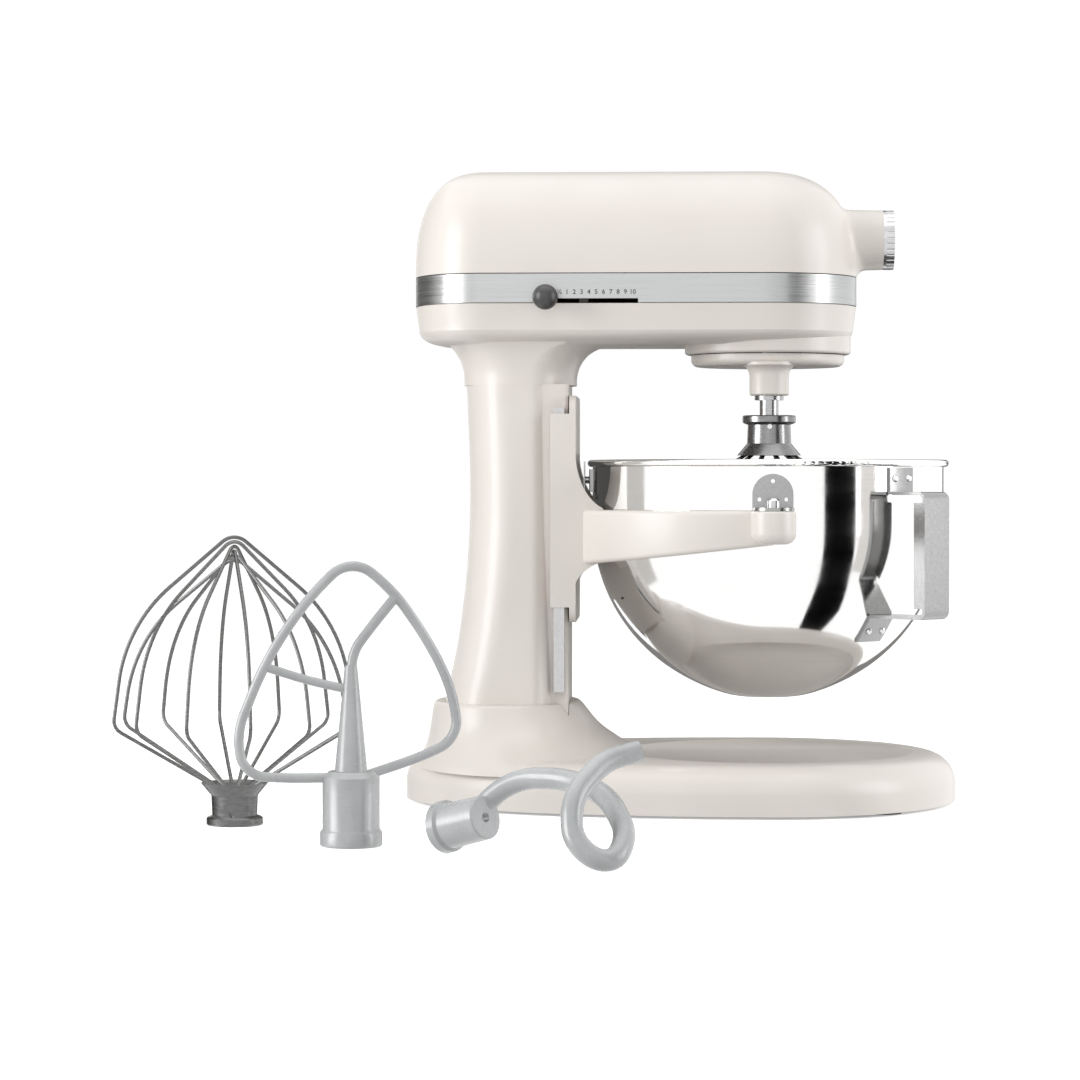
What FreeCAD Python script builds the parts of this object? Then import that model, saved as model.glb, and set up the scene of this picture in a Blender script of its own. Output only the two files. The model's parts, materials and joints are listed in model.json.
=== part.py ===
import FreeCAD, Part
import math
import os

from FreeCAD import Vector

os.makedirs("parts", exist_ok=True)

# Bowl-lift stand mixer.  Millimetres.  +X is the front, +Z is up, and the origin
# lies on the bowl's axis at the level of the table.

# ---- driving dimensions: housing ------------------------------------------------
FOOT_HEIGHT = 2.0
BASE_TOP = 33.0
BASE_FRONT, BASE_REAR = 125.0, -242.0
BASE_FRONT_HALF, BASE_REAR_HALF = 133.0, 119.0
BASE_REAR_MID = -127.0
BASE_TAPER = 0.2
BASE_EDGE = 19.0
BASE_WALL = 6.0
DISH_RADIUS, DISH_DEPTH = 96.0, 9.0
BOOT_TOP, BOOT_COVE = 67.0, 16.0
NECK_JOINT = 277.5
COLUMN_WALL = 4.0
COLUMN_FRONT = -132.0
TONGUE_HALF = 44.5
PAN_BOTTOM = 304.0
PAN_CREASE = 312.5
BAND_BOTTOM, BAND_TOP = 330.0, 349.5
HEAD_TOP = 420.0
HEAD_HALF = 65.0
HEAD_FRONT_MID, HEAD_REAR_MID = -6.0, -188.0
HEAD_FRONT = HEAD_FRONT_MID + HEAD_HALF
HEAD_REAR = -235.5
HEAD_WALL = 4.0
COVER_SQUARENESS = 2.6
BAND_THICK = 1.8
SEAM = 0.4
HUB_AXIS_Z = 374.5
HUB_RADIUS, HUB_END, HUB_COVE = 20.0, 76.4, 7.0
HUB_SLEEVE, HUB_SPINDLE, HUB_BORE, HUB_MOUTH = 17.0, 11.0, 14.0, 58.0
KNOB_X, KNOB_SCREW, KNOB_SCREW_BORE = 68.0, 3.0, 3.2
GLAND_RADIUS, GLAND_Z = 8.0, 321.0

# Boot sections: height, rear end, front end, half width.
BOOT_SECTIONS = (
    (24.0, -235.4, -62.0, 104.0), (30.0, -232.8, -76.0, 97.5), (36.0, -229.4, -90.0, 88.5),
    (43.0, -227.2, -101.0, 78.5), (52.0, -225.6, -113.0, 70.5), (61.0, -224.2, -120.5, 66.0),
    (BOOT_TOP, -223.0, -126.0, 64.5),
)
# Column sections: height, rear end, half width.
COLUMN_SECTIONS = (
    (30.0, -216.5, 56.5), (BOOT_TOP, -215.7, 55.5), (98.0, -209.0, 53.2), (125.0, -204.6, 51.0),
    (160.0, -200.9, 49.0), (214.0, -199.2, 47.5), (NECK_JOINT, -201.4, 46.8),
)
COLUMN_BODY_FRONT = -134.5
COLUMN_TAIL, COLUMN_NOSE = 30.0, 22.0

# ---- driving dimensions: drive train --------------------------------------------
GEAR_MODULE = 1.5
RING_TEETH, PLANET_TEETH = 62, 14
CENTRE_TEETH, WHEEL_PINION_TEETH = 44, 16
WORM_TEETH, WORM_STARTS = 30, 2
WORM_PITCH_RADIUS, WORM_WHEEL_RADIUS = 8.5, 23.5
BEVEL_MODULE, BEVEL_CENTRE_TEETH, BEVEL_HUB_TEETH = 1.75, 20, 16
BACKLASH = 0.25
PRESSURE_ANGLE = math.radians(20)
BEATER_OFFSET = GEAR_MODULE * (RING_TEETH - PLANET_TEETH) / 2
MOTOR_AXIS_Z = 359.0
RUNNING_FIT = 0.05
CENTRE_SHAFT_RADIUS, WHEEL_SHAFT_RADIUS, MOTOR_SHAFT_RADIUS = 7.0, 4.0, 4.0
BEATER_SHAFT_RADIUS = 6.2
SHAFT_END = 243.0
RING_RADIUS = 55.3
RING_BOTTOM = 298.0
RING_GEAR_TOP = 308.5
DISH_HEAD_RADIUS, DISH_HEAD_BOTTOM, DISH_HEAD_TOP = 51.0, 290.0, 297.5
BRACKET_BOTTOM, BRACKET_TOP = 344.0, 347.5
CENTRE_GEAR_BOTTOM, CENTRE_GEAR_TOP = 335.0, 342.0
WHEEL_DISTANCE = GEAR_MODULE * (CENTRE_TEETH + WHEEL_PINION_TEETH) / 2
WHEEL_Y = WORM_PITCH_RADIUS + WORM_WHEEL_RADIUS
WHEEL_AT = (-math.sqrt(WHEEL_DISTANCE ** 2 - WHEEL_Y ** 2), WHEEL_Y)
RING_GEAR_OUTER = RING_RADIUS - 3.0
CENTRE_BUSH, WHEEL_BUSH, MOTOR_BEARING = 9.5, 6.0, 9.0
STATOR_RADIUS, STATOR_BORE, ROTOR_RADIUS = 42.0, 25.6, 25.0
STATOR_REAR, STATOR_FRONT = -165.0, -115.0
BEATER_BUSH, PIN_Z = 8.6, 249.5
HALF_SQUARE = 6.35
CENTRE_SHAFT_TOP = HUB_AXIS_Z - 10

# ---- driving dimensions: bowl, yoke and lift ------------------------------------
BOWL_RADIUS, BOWL_WALL = 117.0, 1.0
BOWL_TOP, BOWL_STRAIGHT, BOWL_BOTTOM = 227.9, 186.0, 70.0
RIM_BEAD = 2.35
YOKE_INNER, YOKE_OUTER = 121.2, 133.0
YOKE_TOP = 195.0
YOKE_ROOT, YOKE_TIP = 158.6, 174.0
BOSS_RADIUS, BOSS_Y, PIN_RADIUS = 14.2, 132.7, 4.0
PLATE_BACK, PLATE_FRONT = -131.2, -127.0
CARRIAGE_HALF = 53.0
CARRIAGE_LOW, CARRIAGE_HIGH = 121.0, 270.0
CHEEK_THICK = 3.7
RAIL_REAR, RAIL_FRONT = -141.5, -134.5
RAIL_THICK = 4.4
SLIDE_GAP = 0.4
LIFT_TRAVEL = 45.0
LIFT_X, LIFT_Z = -157.0, 150.0
CRANK_RADIUS, CRANK_PIN_RADIUS, CRANK_CLEARANCE = 32.0, 3.5, 1.4
LEVER_LENGTH = 92.0
LUG_HALF = 4.0
CRANK_REACH = CRANK_RADIUS * math.sqrt(0.5)
SLOT_HALF = CRANK_PIN_RADIUS + CRANK_CLEARANCE
LUG_CENTRE = LIFT_Z + CRANK_REACH
LUG_BOTTOM, LUG_TOP = LUG_CENTRE - SLOT_HALF - 5.5, LUG_CENTRE + SLOT_HALF + 5.5
LUG_REAR = LIFT_X - CRANK_RADIUS - 1.0
BUSH_RADIUS = 7.0
LIFT_SHAFT_RADIUS = 5.0
HANDLE_WIDTH, HANDLE_THICK, HANDLE_REACH = 24.0, 2.0, 148.0
HANDLE_TOP, HANDLE_BOTTOM = 207.0, 125.5
HANDLE_ANGLE = -45.0
ARM_EDGE = 3.0
LATCH_EYE, LATCH_EYE_Z = 1.5, 202.8

# ---- driving dimensions: speed lever --------------------------------------------
LEVER_TRAVEL = 50.0
LEVER_X, LEVER_BLADE_Z, LEVER_BLADE_THICK, LEVER_BLADE_WIDTH = -146.0, 330.1, 2.2, 8.0
LEVER_SLOT_TOP = 332.8
KNOB_RADIUS, KNOB_Y, KNOB_Z = 8.25, -77.0, 333.0

# ---- driving dimensions: tools --------------------------------------------------
FERRULE_FLANGE, FERRULE_BARREL, FERRULE_MOUTH = 17.5, 14.0, 21.0
FERRULE_LENGTH = 26.3
FERRULE_TOP = 257.0
WIRE_RADIUS, WIRE_LOOPS, WIRE_STEP = 1.15, 6, 3.0
WHISK_RADIUS, WHISK_DEPTH = 75.0, 150.0
SPARE_WHISK_AT = (-336.0, -170.0)
BEATER_AT = (-252.0, -285.0)
HOOK_AT = (-204.0, -428.0)
HOOK_ROD, HUB_TILT = 6.2, 14.0

UP = Vector(0, 0, 1)
FORWARD = Vector(1, 0, 0)
LEFT = Vector(0, 1, 0)


# ---- shared shapes --------------------------------------------------------------
def save(name, *solids):
    shape = solids[0] if len(solids) == 1 else Part.makeCompound(list(solids))
    shape.exportStep(f"parts/{name}.step")
    return shape


def block(x0, x1, y0, y1, z0, z1):
    return Part.makeBox(x1 - x0, y1 - y0, z1 - z0, Vector(x0, y0, z0))


def post(radius, z0, z1, x=0.0, y=0.0):
    return Part.makeCylinder(radius, z1 - z0, Vector(x, y, z0), UP)


def rod(radius, x0, x1, y=0.0, z=0.0):
    return Part.makeCylinder(radius, x1 - x0, Vector(x0, y, z), FORWARD)


def spindle(radius, y0, y1, x=0.0, z=0.0):
    return Part.makeCylinder(radius, y1 - y0, Vector(x, y0, z), LEFT)


def tube(outer, inner, z0, z1, x=0.0, y=0.0):
    return post(outer, z0, z1, x, y).cut(post(inner, z0, z1, x, y))


def mirrored(shape):
    """The same piece on the other side of the mixer."""
    return shape.mirror(Vector(0, 0, 0), LEFT)


def turned(shape, degrees, x=0.0, y=0.0):
    copy = shape.copy()
    copy.rotate(Vector(x, y, 0), UP, degrees)
    return copy


def moved(shape, x, y, z=0.0):
    copy = shape.copy()
    copy.translate(Vector(x, y, z))
    return copy


def off_axis(edge):
    """How far the middle of an edge lies from the bowl's axis."""
    middle = edge.valueAt((edge.FirstParameter + edge.LastParameter) / 2)
    return math.hypot(middle.x, middle.y)


def polygon(points):
    return Part.Face(Part.makePolygon(points + points[:1]))


def lathe(profile):
    """Solid of revolution about the Z axis from (radius, height) corners."""
    face = polygon([Vector(radius, 0, height) for radius, height in profile])
    return face.revolve(Vector(0, 0, 0), UP, 360)


def conic(start, corner, end):
    """A quarter of an ellipse from start to end, tangent to the corner's two legs."""
    curve = Part.BezierCurve()
    curve.setPoles([start, corner, end])
    curve.setWeight(2, math.sqrt(0.5))
    return curve.toShape()


def plan_outline(z, rear, rear_mid, rear_half, front_mid, front, front_half, slope=0.0):
    """Closed outline in plan: an elliptic nose and tail joined by two long sides.

    slope is how fast the sides close in where the tail begins.
    """
    def at(x, y):
        return Vector(x, y, z)

    def side(sign):
        reach = (front_mid - rear_mid) * 0.4
        curve = Part.BezierCurve()
        curve.setPoles([at(front_mid, sign * front_half), at(front_mid - reach, sign * front_half),
                        at(rear_mid + reach, sign * (rear_half + slope * reach)),
                        at(rear_mid, sign * rear_half)])
        return curve

    def tail(sign):
        corner = at(rear, sign * (rear_half - slope * (rear_mid - rear)))
        return conic(at(rear_mid, sign * rear_half), corner, at(rear, 0))

    far_side = side(-1)
    far_side.reverse()
    return Part.Wire([
        conic(at(front, 0), at(front, front_half), at(front_mid, front_half)),
        side(1).toShape(),
        tail(1),
        conic(at(rear, 0), at(rear, -rear_half + slope * (rear_mid - rear)), at(rear_mid, -rear_half)),
        far_side.toShape(),
        conic(at(front_mid, -front_half), at(front, -front_half), at(front, 0)),
    ])


def prism(outline, height):
    return Part.Face(outline).extrude(Vector(0, 0, height))


def rounded_path(points):
    """Wire through points whose every corner is an arc as large as its legs allow."""
    edges = []
    start = points[0]
    for before, corner, after in zip(points, points[1:], points[2:]):
        arriving = (corner - before).normalize()
        leaving = (after - corner).normalize()
        reach = 0.49 * min((corner - before).Length, (after - corner).Length)
        arc_start = corner - arriving * reach
        arc_end = corner + leaving * reach
        half_turn = arriving.getAngle(leaving) / 2
        bulge = reach / math.tan(half_turn) * (1 / math.cos(half_turn) - 1)
        inward = (leaving - arriving).normalize()
        edges.append(Part.LineSegment(start, arc_start).toShape())
        edges.append(Part.Arc(arc_start, corner + inward * bulge, arc_end).toShape())
        start = arc_end
    edges.append(Part.LineSegment(start, points[-1]).toShape())
    return Part.Wire(edges)


def filleted_path(corners):
    """Wire through (point, fillet radius) corners; the two ends have no fillet."""
    edges = []
    start = corners[0][0]
    for (before, _), (corner, radius), (after, _) in zip(corners, corners[1:], corners[2:]):
        arriving = (corner - before).normalize()
        leaving = (after - corner).normalize()
        half_turn = arriving.getAngle(leaving) / 2
        reach = radius * math.tan(half_turn)
        bulge = radius * (1 / math.cos(half_turn) - 1)
        inward = (leaving - arriving).normalize()
        arc_start, arc_end = corner - arriving * reach, corner + leaving * reach
        edges.append(Part.LineSegment(start, arc_start).toShape())
        edges.append(Part.Arc(arc_start, corner + inward * bulge, arc_end).toShape())
        start = arc_end
    edges.append(Part.LineSegment(start, corners[-1][0]).toShape())
    return Part.Wire(edges)


def wire_solid(path, radius):
    first = path.OrderedEdges[0]
    direction = first.tangentAt(first.FirstParameter)
    circle = Part.Wire(Part.Circle(first.valueAt(first.FirstParameter), direction, radius).toShape())
    return path.makePipeShell([circle], True, True)


# ---- gears ----------------------------------------------------------------------
def involute(angle):
    return math.tan(angle) - angle


def tooth_flank(pitch_radius, teeth, root, tip, backlash, steps=4):
    """(radius, half angle) pairs along one flank, from root to tip."""
    base = pitch_radius * math.cos(PRESSURE_ANGLE)
    at_pitch = math.pi / (2 * teeth) - backlash / (2 * pitch_radius)
    flank = []
    for step in range(steps + 1):
        radius = root + (tip - root) * step / steps
        roll = math.acos(min(1.0, base / radius))
        flank.append((radius, at_pitch + involute(PRESSURE_ANGLE) - involute(roll)))
    return flank


def gear_points(flank, teeth, first_tooth, z):
    """Corner points of a whole gear, from one flank repeated both ways round."""
    corners = []
    for tooth in range(teeth):
        middle = math.radians(first_tooth) + tooth * 2 * math.pi / teeth
        rising = [(radius, middle - half) for radius, half in flank]
        falling = [(radius, middle + half) for radius, half in reversed(flank)]
        corners += [Vector(r * math.cos(a), r * math.sin(a), z) for r, a in rising + falling]
    return corners


def spur_gear(module, teeth, bore, z0, z1, x=0.0, y=0.0, first_tooth=0.0):
    pitch = module * teeth / 2
    flank = tooth_flank(pitch, teeth, pitch - 1.25 * module, pitch + module, BACKLASH)
    body = polygon(gear_points(flank, teeth, first_tooth, z0)).extrude(Vector(0, 0, z1 - z0))
    return moved(body, x, y).cut(post(bore, z0, z1, x, y))


def internal_gear(module, teeth, outer, z0, z1, first_space):
    pitch = module * teeth / 2
    flank = tooth_flank(pitch, teeth, pitch - 0.8 * module, pitch + 1.25 * module, -BACKLASH)
    space = polygon(gear_points(flank, teeth, first_space, z0)).extrude(Vector(0, 0, z1 - z0))
    return post(outer, z0, z1).cut(space)


def bevel_gear(module, teeth, mate_teeth, bore, face_width, first_tooth):
    """Bevel gear with its apex at the origin, opening downwards along -Z."""
    cone = math.atan2(teeth, mate_teeth)
    pitch = module * teeth / 2
    depth = module * mate_teeth / 2
    back_radius = pitch / math.cos(cone)
    flank = []
    heights = (-1.2 * module, -0.4 * module, 0.2 * module, 0.7 * module)
    virtual = tooth_flank(back_radius, teeth / math.cos(cone), back_radius + heights[0],
                          back_radius + heights[-1], 2 * BACKLASH, len(heights))
    for radius, half in virtual:
        height = radius - back_radius
        shrink = depth / (depth - height * math.sin(cone))
        flank.append(((pitch + height * math.cos(cone)) * shrink, half / math.cos(cone)))
    large = gear_points(flank, teeth, first_tooth, -depth)
    ratio = 1 - face_width / math.hypot(pitch, depth)
    small = [point * ratio for point in large]
    faces = [polygon(large), polygon(small)]
    for index, corner in enumerate(large):
        following = (index + 1) % len(large)
        faces.append(polygon([corner, large[following], small[following], small[index]]))
    body = Part.Solid(Part.Shell(faces))
    return body.cut(post(bore, -depth - 1, 1))


def worm_thread(root, tip, lead, starts, length, half_root, half_tip, segments=12):
    """Helical threads round the X axis, as flat facets, centred on x = 0."""
    threads = []
    count = round(length / lead) * segments
    for start in range(starts):
        rings = []
        for step in range(count + 1):
            turn = 2 * math.pi * step / segments
            x = (step / segments - count / segments / 2) * lead
            angle = turn + 2 * math.pi * start / starts
            ring = [(x - half_root, root - 1.2), (x - half_tip, tip),
                    (x + half_tip, tip), (x + half_root, root - 1.2)]
            rings.append([Vector(a, r * math.cos(angle), r * math.sin(angle)) for a, r in ring])
        faces = [polygon(rings[0]), polygon(rings[-1])]
        for near, far in zip(rings, rings[1:]):
            for side in range(4):
                other = (side + 1) % 4
                faces.append(polygon([near[side], near[other], far[other]]))
                faces.append(polygon([near[side], far[other], far[side]]))
        threads.append(Part.Solid(Part.Shell(faces)))
    return threads


# ---- base, boot and column ------------------------------------------------------
def base_outline(z, inset=0.0):
    return plan_outline(z, BASE_REAR + inset, BASE_REAR_MID, BASE_REAR_HALF - inset,
                        0.0, BASE_FRONT - inset, BASE_FRONT_HALF - inset, BASE_TAPER)


def boot_outline(z, rear, front, half, inset=0.0):
    reach = 0.45 * (front - rear)
    return plan_outline(z, rear + inset, rear + reach, half - inset,
                        front - reach, front - inset, half - inset)


def column_outline(z, rear, half, inset=0.0):
    return plan_outline(z, rear + inset, rear + COLUMN_TAIL, half - inset,
                        COLUMN_BODY_FRONT - COLUMN_NOSE, COLUMN_BODY_FRONT - inset, half - inset)


def make_base():
    slab = prism(base_outline(FOOT_HEIGHT), BASE_TOP - FOOT_HEIGHT)
    top = [edge for edge in slab.Edges if edge.BoundBox.ZMin > BASE_TOP - 0.01]
    slab = slab.makeFillet(BASE_EDGE, top)
    boot = Part.makeLoft([boot_outline(*section) for section in BOOT_SECTIONS], True)
    lip = [edge for edge in boot.Edges if edge.BoundBox.ZMin > BOOT_TOP - 0.01]
    boot = boot.makeFillet(3.0, lip)
    body = slab.fuse(boot)
    foot = [edge for edge in body.Edges
            if edge.BoundBox.ZMin > BOOT_SECTIONS[0][0] + 0.1 and edge.BoundBox.ZMax < BASE_TOP + 1]
    body = body.makeFillet(BOOT_COVE, foot)
    floor = BASE_TOP - DISH_DEPTH
    dish = lathe([(0, floor), (DISH_RADIUS - 22, floor), (DISH_RADIUS - 12, floor + 1.2),
                  (DISH_RADIUS - 4, floor + 4.2), (DISH_RADIUS, floor + 7.2),
                  (DISH_RADIUS + 2, BASE_TOP + 1), (0, BASE_TOP + 1)])
    body = body.cut(dish)
    cavity = prism(base_outline(FOOT_HEIGHT, BASE_WALL), floor - BASE_WALL - FOOT_HEIGHT)
    body = body.cut(cavity)
    # Socket in which the column stands.
    socket = Part.makeLoft([column_outline(*section, -SEAM) for section in COLUMN_SECTIONS], True)
    tongue = block(-170, COLUMN_FRONT + SEAM, -TONGUE_HALF - SEAM, TONGUE_HALF + SEAM,
                   COLUMN_SECTIONS[0][0], BOOT_TOP + 1)
    return body.cut(socket).cut(tongue)


def make_column():
    outer = Part.makeLoft([column_outline(*section) for section in COLUMN_SECTIONS], True)
    inner = Part.makeLoft([column_outline(z, rear, half, COLUMN_WALL)
                           for z, rear, half in COLUMN_SECTIONS], True)
    low, high = COLUMN_SECTIONS[0][0], NECK_JOINT
    tongue = block(-165, COLUMN_FRONT, -TONGUE_HALF, TONGUE_HALF, low, high)
    corners = [edge for edge in tongue.Edges
               if edge.BoundBox.ZLength > 1 and edge.BoundBox.XMax > COLUMN_FRONT - 0.01]
    tongue = tongue.makeFillet(2.4, corners)
    hollow = block(-165, COLUMN_FRONT - COLUMN_WALL, COLUMN_WALL - TONGUE_HALF,
                   TONGUE_HALF - COLUMN_WALL, low, high)
    body = outer.fuse(tongue).cut(inner).cut(hollow)
    # Slot for the lift lug, and the bush seat of the lift shaft.
    slot = block(COLUMN_FRONT - 8, COLUMN_FRONT + 1, -LUG_HALF - 1.5, LUG_HALF + 1.5,
                 LUG_BOTTOM - LIFT_TRAVEL - 1.5, LUG_TOP + 1.5)
    boss = spindle(11, 34, TONGUE_HALF, LIFT_X, LIFT_Z)
    bore = spindle(BUSH_RADIUS, 30, 70, LIFT_X, LIFT_Z)
    body = body.cut(slot).fuse(boss).cut(bore)
    return body.cut(make_rail()).cut(mirrored(make_rail()))


def make_rail():
    return block(RAIL_REAR, RAIL_FRONT, TONGUE_HALF, TONGUE_HALF + RAIL_THICK, 75, 262)


# ---- head -----------------------------------------------------------------------
def head_outline(z, inset=0.0):
    return plan_outline(z, HEAD_REAR + inset, HEAD_REAR_MID, HEAD_HALF - inset,
                        HEAD_FRONT_MID, HEAD_FRONT - inset, HEAD_HALF - inset)


def neck_sections(inset=0.0):
    """The coved neck: its rear, front and side profiles each follow a quarter round."""
    rear_cove, front_cove, side_cove = 31.0, 23.5, 31.0
    wires = []
    for rise in (0.0, 4.0, 10.5, 16.5, 21.5, 25.5, 28.5, 30.7):
        z = NECK_JOINT + rise
        back = max(0.0, rise - 4.0)
        rear = -234.0 + math.sqrt(rear_cove ** 2 - min(back, rear_cove) ** 2) + inset
        ahead = min(max(0.0, rise - 3.0), front_cove)
        front = -104.1 - math.sqrt(front_cove ** 2 - ahead ** 2) - inset
        half = 62.2 - 15.2 * math.sqrt(1 - (back / side_cove) ** 2) - inset
        wires.append(plan_outline(z, rear, rear + 36.0 - inset, half, front - 30.0, front, half))
    return wires


def make_lower_housing():
    wall_top = BAND_TOP - SEAM
    pan = Part.makeLoft([head_outline(PAN_CREASE, 2.5), head_outline(BAND_BOTTOM - SEAM, 0.2)], True)
    belly = Part.makeLoft([head_outline(PAN_BOTTOM, 18.0), head_outline(PAN_BOTTOM + 2.2, 9.5),
                           head_outline(PAN_BOTTOM + 5.0, 4.8), head_outline(PAN_CREASE, 2.5)], True)
    neck = Part.makeLoft(neck_sections(), True)
    ring = post(RING_RADIUS, RING_BOTTOM, PAN_CREASE)
    ring = ring.makeFillet(2.0, [edge for edge in ring.Edges if edge.BoundBox.ZMax < RING_BOTTOM + 0.01])
    rim = prism(head_outline(PAN_CREASE, BAND_THICK + 0.6), wall_top - PAN_CREASE)
    body = pan.fuse([belly, neck, ring, rim])
    floor = RING_GEAR_TOP + 4.0
    body = body.cut(prism(head_outline(floor, BAND_THICK + 0.6 + HEAD_WALL), wall_top - floor))
    body = body.cut(Part.makeLoft(neck_sections(COLUMN_WALL), True))
    body = body.cut(post(RING_GEAR_OUTER, RING_BOTTOM - 1, RING_GEAR_TOP))
    # Bearing bosses, motor saddles, rear bearing post and the lever's guide shelf.
    bosses = [post(13, floor - 1, floor + 12), post(9, floor - 1, floor + 9, *WHEEL_AT)]
    saddles = [block(x - 3, x + 3, -43, 43, floor - 1, MOTOR_AXIS_Z - 20) for x in (-158, -122)]
    stator = rod(STATOR_RADIUS, -170, -110, 0, MOTOR_AXIS_Z)
    saddles = [saddle.cut(stator) for saddle in saddles]
    rear_post = block(-207, -201, -16, 16, floor - 8, MOTOR_AXIS_Z + 13)
    shelf = block(-160, -82, -61.5, -44, LEVER_BLADE_Z - 3.6, LEVER_BLADE_Z - 0.1)
    body = body.fuse(bosses + saddles + [rear_post, shelf])
    slot = block(LEVER_X - 5, LEVER_X + LEVER_TRAVEL + 10, -70, -56, LEVER_BLADE_Z - 0.4, LEVER_SLOT_TOP)
    body = body.cut(slot)
    body = body.cut(post(CENTRE_BUSH, RING_GEAR_TOP - 1, floor + 20))
    body = body.cut(post(WHEEL_BUSH, RING_GEAR_TOP + 1, floor + 20, *WHEEL_AT))
    body = body.cut(rod(MOTOR_BEARING, -210, -195, 0, MOTOR_AXIS_Z))
    return body.cut(rod(GLAND_RADIUS, -240, -222, 0, GLAND_Z))


def arch_half(x_mid, inset):
    """Half of the cover's cross-section, bounded by its axis, at x = x_mid."""
    half, rise = HEAD_HALF - inset, HEAD_TOP - inset - BAND_TOP
    power = 2 / COVER_SQUARENESS
    points = []
    for step in range(13):
        angle = math.pi / 2 * step / 12
        across, up = half * math.cos(angle) ** power, rise * math.sin(angle) ** power
        points.append(Vector(x_mid, across, BAND_TOP + up))
    arch = Part.BSplineCurve()
    arch.interpolate(Points=points, InitialTangent=UP, FinalTangent=Vector(0, -1, 0))
    low, centre = Vector(x_mid, 0, BAND_TOP), points[-1]
    return Part.Face(Part.Wire([arch.toShape(), Part.LineSegment(centre, low).toShape(),
                                Part.LineSegment(low, points[0]).toShape()]))


def cover_solid(inset=0.0):
    front_axis, rear_axis = Vector(HEAD_FRONT_MID, 0, 0), Vector(HEAD_REAR_MID, 0, 0)
    nose = arch_half(HEAD_FRONT_MID, inset).revolve(front_axis, UP, -180)
    tail = arch_half(HEAD_REAR_MID, inset).revolve(rear_axis, UP, 180)
    squeeze = FreeCAD.Matrix()
    squeeze.move(-rear_axis)
    squeeze.scale((HEAD_REAR_MID - HEAD_REAR - inset) / (HEAD_HALF - inset), 1, 1)
    squeeze.move(rear_axis)
    tail = tail.transformGeometry(squeeze)
    side = arch_half(HEAD_REAR_MID, inset).extrude(Vector(HEAD_FRONT_MID - HEAD_REAR_MID, 0, 0))
    return nose.fuse([tail, side, mirrored(side)]).removeSplitter()


def make_head_cover():
    outer = cover_solid()
    neck = Part.makeCone(HUB_RADIUS + 0.7, HUB_RADIUS - 0.2, HUB_END - 36,
                         Vector(36, 0, HUB_AXIS_Z), FORWARD)
    joined = outer.fuse(neck)
    root = [edge for edge in joined.Edges
            if edge.BoundBox.YLength > 1.5 * HUB_RADIUS
            and 40 < edge.BoundBox.XMin and edge.BoundBox.XMax < HUB_END - 5]
    joined = joined.makeFillet(HUB_COVE, root)
    shell = joined.cut(cover_solid(HEAD_WALL)).fuse(neck)
    shell = shell.cut(rod(HUB_SLEEVE, 30, 80, 0, HUB_AXIS_Z))
    return shell.cut(spindle(KNOB_SCREW_BORE, 10, 30, KNOB_X, HUB_AXIS_Z))


def make_trim_band():
    height = BAND_TOP - BAND_BOTTOM - 2 * SEAM
    low = BAND_BOTTOM + SEAM / 2
    outer = prism(head_outline(low, 0.0), height)
    band = outer.cut(prism(head_outline(low, BAND_THICK), height))
    slot = block(LEVER_X - 5, LEVER_X + LEVER_TRAVEL + 10, -70, -56, low - 1, LEVER_SLOT_TOP)
    return band.cut(slot)


# ---- inside the head ------------------------------------------------------------
def make_gear_bracket():
    plate = block(-66, 26, -44, 50, BRACKET_BOTTOM, BRACKET_TOP)
    corners = [edge for edge in plate.Edges if edge.BoundBox.ZLength > 1]
    plate = plate.makeFillet(10.0, corners)
    floor = RING_GEAR_TOP + 4.0
    legs = [post(4, floor, BRACKET_BOTTOM + 1, x, y)
            for x, y in ((-54, -34), (-56, 42), (18, 42), (18, -37))]
    upright = block(-66, -60, -18, 18, BRACKET_BOTTOM, MOTOR_AXIS_Z + 13)
    body = plate.fuse(legs + [upright])
    body = body.cut(post(CENTRE_BUSH, BRACKET_BOTTOM - 1, BRACKET_TOP + 1))
    body = body.cut(post(WHEEL_BUSH, BRACKET_BOTTOM - 1, BRACKET_TOP + 1, *WHEEL_AT))
    return body.cut(rod(MOTOR_BEARING, -70, -55, 0, MOTOR_AXIS_Z))


def make_shaft_bushes():
    centre = [tube(CENTRE_BUSH, CENTRE_SHAFT_RADIUS + RUNNING_FIT, z0, z1)
              for z0, z1 in ((RING_GEAR_TOP, RING_GEAR_TOP + 16), (BRACKET_BOTTOM, BRACKET_TOP))]
    wheel = [tube(WHEEL_BUSH, WHEEL_SHAFT_RADIUS + RUNNING_FIT, z0, z1, *WHEEL_AT)
             for z0, z1 in ((RING_GEAR_TOP + 1, RING_GEAR_TOP + 13), (BRACKET_BOTTOM, BRACKET_TOP))]
    return centre + wheel


def along_x_tube(outer, inner, x0, x1, z):
    return rod(outer, x0, x1, 0, z).cut(rod(inner, x0, x1, 0, z))


def make_stator():
    core = along_x_tube(STATOR_RADIUS - 0.1, STATOR_BORE, STATOR_REAR, STATOR_FRONT, MOTOR_AXIS_Z)
    for side in (-1, 1):
        core = core.cut(block(STATOR_REAR, STATOR_FRONT, -12, 12, MOTOR_AXIS_Z + side * 36 - 3,
                              MOTOR_AXIS_Z + side * 36 + 3))
    return core


def make_brush_holders():
    holder = block(-186, -174, 12.4, 32, MOTOR_AXIS_Z - 4, MOTOR_AXIS_Z + 4)
    arm = block(-174, STATOR_REAR, 27, 32, MOTOR_AXIS_Z - 4, MOTOR_AXIS_Z + 4)
    holder = holder.fuse(arm)
    return [holder, mirrored(holder)]


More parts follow.
